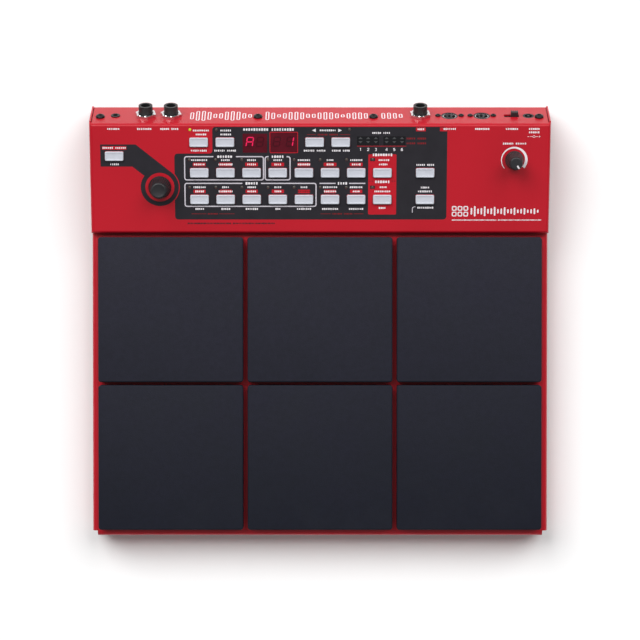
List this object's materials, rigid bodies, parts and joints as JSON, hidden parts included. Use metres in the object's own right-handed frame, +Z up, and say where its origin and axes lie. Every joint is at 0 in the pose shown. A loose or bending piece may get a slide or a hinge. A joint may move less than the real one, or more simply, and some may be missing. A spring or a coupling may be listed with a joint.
{
  "type": "electronic drum pad",
  "caption": "Electronic drum pad: low folded steel case, square rubber striking pads, sloping control panel with push buttons, displays and knobs, and rear sockets.",
  "frame": {"origin": "on the table, under the centre of the box round the whole object", "axes": "+X to the player's right, +Y away from the player towards the rear sockets, +Z up"},
  "size_m": [0.325, 0.3084, 0.062],
  "materials": {
    "red_steel": "satin powder coat",
    "black_steel": "matt powder coat",
    "zinc_steel": "zinc plated",
    "foot_rubber": "matt",
    "pad_rubber": "matt, finely textured",
    "foam": "closed-cell foam",
    "sensor_brass": "plain",
    "button_plastic": "matt moulded",
    "knob_plastic": "satin moulded",
    "black_plastic": "moulded",
    "black_screw": "black zinc",
    "chrome": "bright",
    "board": "solder mask",
    "lamp_lens": "diffused",
    "display_lens": "tinted"
  },
  "bodies": {
    "case": {"base_screws": "black_screw", "board_standoffs": "zinc_steel", "bottom_plate": "black_steel", "control_panel": "red_steel", "deck_chassis": "red_steel", "display_modules": "black_plastic", "jack_nuts": "chrome", "line_jacks": "black_plastic", "main_board": "board", "midi_sockets": "black_plastic", "pad_foam": "foam", "pad_sensors": "sensor_brass", "panel_board": "board", "panel_lenses": "display_lens", "phones_jack": "black_plastic", "power_inlet": "black_plastic", "power_switch": "black_plastic", "rear_screws": "black_screw", "rubber_feet": "foot_rubber", "shaft_controls": "zinc_steel", "status_lamps": "lamp_lens", "tact_switches": "black_plastic"},
    "button_left": {"button_left": "button_plastic"},
    "button_top_1": {"button_top_1": "button_plastic"},
    "button_top_2": {"button_top_2": "button_plastic"},
    "button_top_3": {"button_top_3": "button_plastic"},
    "button_top_4": {"button_top_4": "button_plastic"},
    "button_lower_1": {"button_lower_1": "button_plastic"},
    "button_lower_2": {"button_lower_2": "button_plastic"},
    "button_lower_3": {"button_lower_3": "button_plastic"},
    "button_lower_4": {"button_lower_4": "button_plastic"},
    "button_lower_5": {"button_lower_5": "button_plastic"},
    "button_lower_6": {"button_lower_6": "button_plastic"},
    "button_lower_7": {"button_lower_7": "button_plastic"},
    "button_lower_8": {"button_lower_8": "button_plastic"},
    "button_lower_shift": {"button_lower_shift": "button_plastic"},
    "button_upper_1": {"button_upper_1": "button_plastic"},
    "button_upper_2": {"button_upper_2": "button_plastic"},
    "button_upper_3": {"button_upper_3": "button_plastic"},
    "button_upper_4": {"button_upper_4": "button_plastic"},
    "button_upper_5": {"button_upper_5": "button_plastic"},
    "button_upper_6": {"button_upper_6": "button_plastic"},
    "button_upper_7": {"button_upper_7": "button_plastic"},
    "button_upper_8": {"button_upper_8": "button_plastic"},
    "button_upper_shift": {"button_upper_shift": "button_plastic"},
    "pad_1": {"pad_1": "pad_rubber", "pad_plate_1": "zinc_steel"},
    "pad_2": {"pad_2": "pad_rubber", "pad_plate_2": "zinc_steel"},
    "pad_3": {"pad_3": "pad_rubber", "pad_plate_3": "zinc_steel"},
    "pad_4": {"pad_4": "pad_rubber", "pad_plate_4": "zinc_steel"},
    "pad_5": {"pad_5": "pad_rubber", "pad_plate_5": "zinc_steel"},
    "pad_6": {"pad_6": "pad_rubber", "pad_plate_6": "zinc_steel"},
    "level_knob": {"level_knob": "knob_plastic"},
    "value_dial": {"value_dial": "knob_plastic"},
    "power_slider": {"power_slider": "knob_plastic"}
  },
  "joints": [
    {"name": "button_left_press", "type": "slide", "parent": "case", "child": "button_left", "axis": [0, 0.2116, -0.9773], "range_m": [0, 0.0005], "stiffness_N_per_m": 300, "springref_m": -0.001},
    {"name": "button_top_1_press", "type": "slide", "parent": "case", "child": "button_top_1", "axis": [0, 0.2116, -0.9773], "range_m": [0, 0.0005], "stiffness_N_per_m": 300, "springref_m": -0.001},
    {"name": "button_top_2_press", "type": "slide", "parent": "case", "child": "button_top_2", "axis": [0, 0.2116, -0.9773], "range_m": [0, 0.0005], "stiffness_N_per_m": 300, "springref_m": -0.001},
    {"name": "button_top_3_press", "type": "slide", "parent": "case", "child": "button_top_3", "axis": [0, 0.2116, -0.9773], "range_m": [0, 0.0005], "stiffness_N_per_m": 300, "springref_m": -0.001},
    {"name": "button_top_4_press", "type": "slide", "parent": "case", "child": "button_top_4", "axis": [0, 0.2116, -0.9773], "range_m": [0, 0.0005], "stiffness_N_per_m": 300, "springref_m": -0.001},
    {"name": "button_lower_1_press", "type": "slide", "parent": "case", "child": "button_lower_1", "axis": [0, 0.2116, -0.9773], "range_m": [0, 0.0005], "stiffness_N_per_m": 300, "springref_m": -0.001},
    {"name": "button_lower_2_press", "type": "slide", "parent": "case", "child": "button_lower_2", "axis": [0, 0.2116, -0.9773], "range_m": [0, 0.0005], "stiffness_N_per_m": 300, "springref_m": -0.001},
    {"name": "button_lower_3_press", "type": "slide", "parent": "case", "child": "button_lower_3", "axis": [0, 0.2116, -0.9773], "range_m": [0, 0.0005], "stiffness_N_per_m": 300, "springref_m": -0.001},
    {"name": "button_lower_4_press", "type": "slide", "parent": "case", "child": "button_lower_4", "axis": [0, 0.2116, -0.9773], "range_m": [0, 0.0005], "stiffness_N_per_m": 300, "springref_m": -0.001},
    {"name": "button_lower_5_press", "type": "slide", "parent": "case", "child": "button_lower_5", "axis": [0, 0.2116, -0.9773], "range_m": [0, 0.0005], "stiffness_N_per_m": 300, "springref_m": -0.001},
    {"name": "button_lower_6_press", "type": "slide", "parent": "case", "child": "button_lower_6", "axis": [0, 0.2116, -0.9773], "range_m": [0, 0.0005], "stiffness_N_per_m": 300, "springref_m": -0.001},
    {"name": "button_lower_7_press", "type": "slide", "parent": "case", "child": "button_lower_7", "axis": [0, 0.2116, -0.9773], "range_m": [0, 0.0005], "stiffness_N_per_m": 300, "springref_m": -0.001},
    {"name": "button_lower_8_press", "type": "slide", "parent": "case", "child": "button_lower_8", "axis": [0, 0.2116, -0.9773], "range_m": [0, 0.0005], "stiffness_N_per_m": 300, "springref_m": -0.001},
    {"name": "button_lower_shift_press", "type": "slide", "parent": "case", "child": "button_lower_shift", "axis": [0, 0.2116, -0.9773], "range_m": [0, 0.0005], "stiffness_N_per_m": 300, "springref_m": -0.001},
    {"name": "button_upper_1_press", "type": "slide", "parent": "case", "child": "button_upper_1", "axis": [0, 0.2116, -0.9773], "range_m": [0, 0.0005], "stiffness_N_per_m": 300, "springref_m": -0.001},
    {"name": "button_upper_2_press", "type": "slide", "parent": "case", "child": "button_upper_2", "axis": [0, 0.2116, -0.9773], "range_m": [0, 0.0005], "stiffness_N_per_m": 300, "springref_m": -0.001},
    {"name": "button_upper_3_press", "type": "slide", "parent": "case", "child": "button_upper_3", "axis": [0, 0.2116, -0.9773], "range_m": [0, 0.0005], "stiffness_N_per_m": 300, "springref_m": -0.001},
    {"name": "button_upper_4_press", "type": "slide", "parent": "case", "child": "button_upper_4", "axis": [0, 0.2116, -0.9773], "range_m": [0, 0.0005], "stiffness_N_per_m": 300, "springref_m": -0.001},
    {"name": "button_upper_5_press", "type": "slide", "parent": "case", "child": "button_upper_5", "axis": [0, 0.2116, -0.9773], "range_m": [0, 0.0005], "stiffness_N_per_m": 300, "springref_m": -0.001},
    {"name": "button_upper_6_press", "type": "slide", "parent": "case", "child": "button_upper_6", "axis": [0, 0.2116, -0.9773], "range_m": [0, 0.0005], "stiffness_N_per_m": 300, "springref_m": -0.001},
    {"name": "button_upper_7_press", "type": "slide", "parent": "case", "child": "button_upper_7", "axis": [0, 0.2116, -0.9773], "range_m": [0, 0.0005], "stiffness_N_per_m": 300, "springref_m": -0.001},
    {"name": "button_upper_8_press", "type": "slide", "parent": "case", "child": "button_upper_8", "axis": [0, 0.2116, -0.9773], "range_m": [0, 0.0005], "stiffness_N_per_m": 300, "springref_m": -0.001},
    {"name": "button_upper_shift_press", "type": "slide", "parent": "case", "child": "button_upper_shift", "axis": [0, 0.2116, -0.9773], "range_m": [0, 0.0005], "stiffness_N_per_m": 300, "springref_m": -0.001},
    {"name": "pad_1_strike", "type": "slide", "parent": "case", "child": "pad_1", "axis": [0, 0, -1], "range_m": [0, 0.0007], "stiffness_N_per_m": 20000, "springref_m": -0.0006},
    {"name": "pad_2_strike", "type": "slide", "parent": "case", "child": "pad_2", "axis": [0, 0, -1], "range_m": [0, 0.0007], "stiffness_N_per_m": 20000, "springref_m": -0.0006},
    {"name": "pad_3_strike", "type": "slide", "parent": "case", "child": "pad_3", "axis": [0, 0, -1], "range_m": [0, 0.0007], "stiffness_N_per_m": 20000, "springref_m": -0.0006},
    {"name": "pad_4_strike", "type": "slide", "parent": "case", "child": "pad_4", "axis": [0, 0, -1], "range_m": [0, 0.0007], "stiffness_N_per_m": 20000, "springref_m": -0.0006},
    {"name": "pad_5_strike", "type": "slide", "parent": "case", "child": "pad_5", "axis": [0, 0, -1], "range_m": [0, 0.0007], "stiffness_N_per_m": 20000, "springref_m": -0.0006},
    {"name": "pad_6_strike", "type": "slide", "parent": "case", "child": "pad_6", "axis": [0, 0, -1], "range_m": [0, 0.0007], "stiffness_N_per_m": 20000, "springref_m": -0.0006},
    {"name": "level_turn", "type": "hinge", "parent": "case", "child": "level_knob", "pos_m": [0.137, 0.11249, 0.04494], "axis": [0, -0.2116, 0.9773], "range_deg": [0, 300]},
    {"name": "value_turn", "type": "hinge", "parent": "case", "child": "value_dial", "pos_m": [-0.1132, 0.09324, 0.04077], "axis": [0, -0.2116, 0.9773], "continuous": true},
    {"name": "power_slide", "type": "slide", "parent": "case", "child": "power_slider", "axis": [-1, 0, 0], "range_m": [0, 0.004]}
  ]
}
